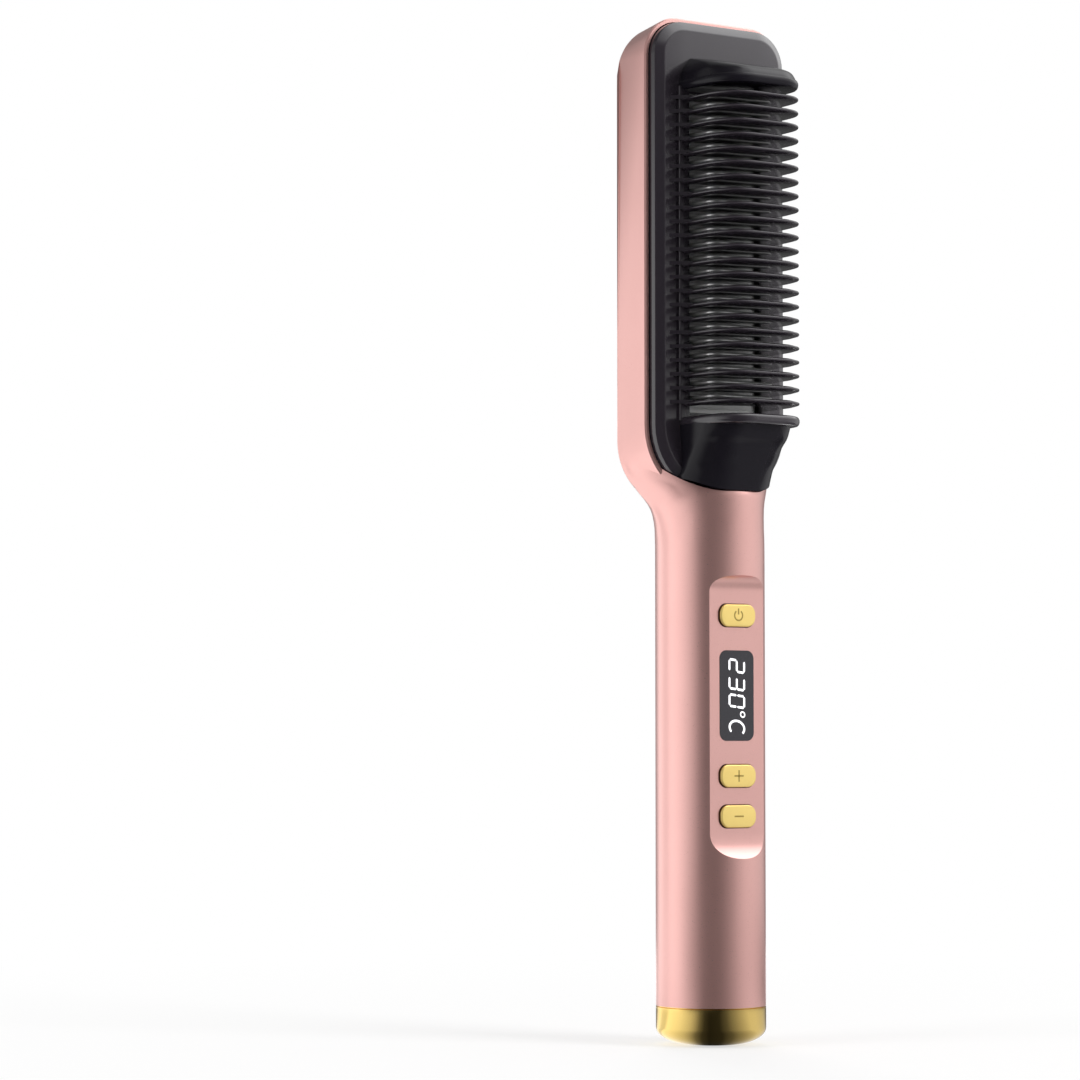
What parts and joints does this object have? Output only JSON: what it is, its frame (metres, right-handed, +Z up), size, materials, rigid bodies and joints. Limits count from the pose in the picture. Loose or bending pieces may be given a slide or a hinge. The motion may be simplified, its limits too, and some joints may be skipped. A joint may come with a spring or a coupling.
{
  "type": "heated straightening comb brush",
  "caption": "Heated hair comb brush: round handle with display and keys, flat head with arched guard fins over heating fins, faceted back panel and gold trim.",
  "frame": {"origin": "centre of the end cap's flat base, on the handle's axis", "axes": "+Z up the handle to the head, -Y out of the comb and the keys, +X to the right seen from the comb side"},
  "size_m": [0.047, 0.043, 0.28],
  "materials": {
    "rose_paint": "satin rose paint",
    "black_gloss": "gloss black",
    "black_fin": "black coated aluminium",
    "gold_metal": "polished gold",
    "gold_satin": "satin gold",
    "display_glass": "smoked gloss",
    "ceramic_white": "fired",
    "mica": "matte sheet",
    "spring_steel": "brushed",
    "zinc_screw": "zinc plated",
    "shield_metal": "bright sheet",
    "board_green": "solder mask",
    "carrier_plastic": "moulded",
    "component_black": "moulded",
    "component_yellow": "dipped",
    "fuse_body": "sealed",
    "lead_cover": "silicone",
    "gland_rubber": "satin black"
  },
  "bodies": {
    "brush": {"bearing_screws": "zinc_screw", "board_carrier": "carrier_plastic", "board_screws": "zinc_screw", "comb_housing": "black_gloss", "comb_screws": "zinc_screw", "control_board": "board_green", "display_module": "component_black", "display_window": "display_glass", "end_cap": "gold_metal", "film_capacitor": "component_yellow", "heat_shield": "shield_metal", "heater_clamp": "spring_steel", "heater_comb": "black_fin", "heater_leads": "lead_cover", "heater_screws": "zinc_screw", "heater_strip": "ceramic_white", "main_housing": "rose_paint", "mica_sheet": "mica", "minus_switch": "component_black", "plus_switch": "component_black", "power_switch": "component_black", "rear_frame": "gold_metal", "rear_panel": "rose_paint", "smoothing_capacitor": "component_black", "swivel_bearing": "carrier_plastic", "thermal_fuse": "fuse_body", "thermistor": "component_yellow", "triac": "component_black"},
    "power_key": {"power_button": "gold_satin", "power_plunger": "component_yellow"},
    "plus_key": {"plus_button": "gold_satin", "plus_plunger": "component_yellow"},
    "minus_key": {"minus_button": "gold_satin", "minus_plunger": "component_yellow"},
    "cord_swivel": {"cord_gland": "gland_rubber", "gland_clip": "spring_steel"}
  },
  "joints": [
    {"name": "power_press", "type": "slide", "parent": "brush", "child": "power_key", "axis": [0, 1, 0], "range_m": [0, 0.0006], "stiffness_N_per_m": 2500, "springref_m": -0.0002},
    {"name": "plus_press", "type": "slide", "parent": "brush", "child": "plus_key", "axis": [0, 1, 0], "range_m": [0, 0.0006], "stiffness_N_per_m": 2500, "springref_m": -0.0002},
    {"name": "minus_press", "type": "slide", "parent": "brush", "child": "minus_key", "axis": [0, 1, 0], "range_m": [0, 0.0006], "stiffness_N_per_m": 2500, "springref_m": -0.0002},
    {"name": "cord_turn", "type": "hinge", "parent": "brush", "child": "cord_swivel", "pos_m": [0, 0, 0.0064], "axis": [0, 0, 1], "continuous": true}
  ]
}
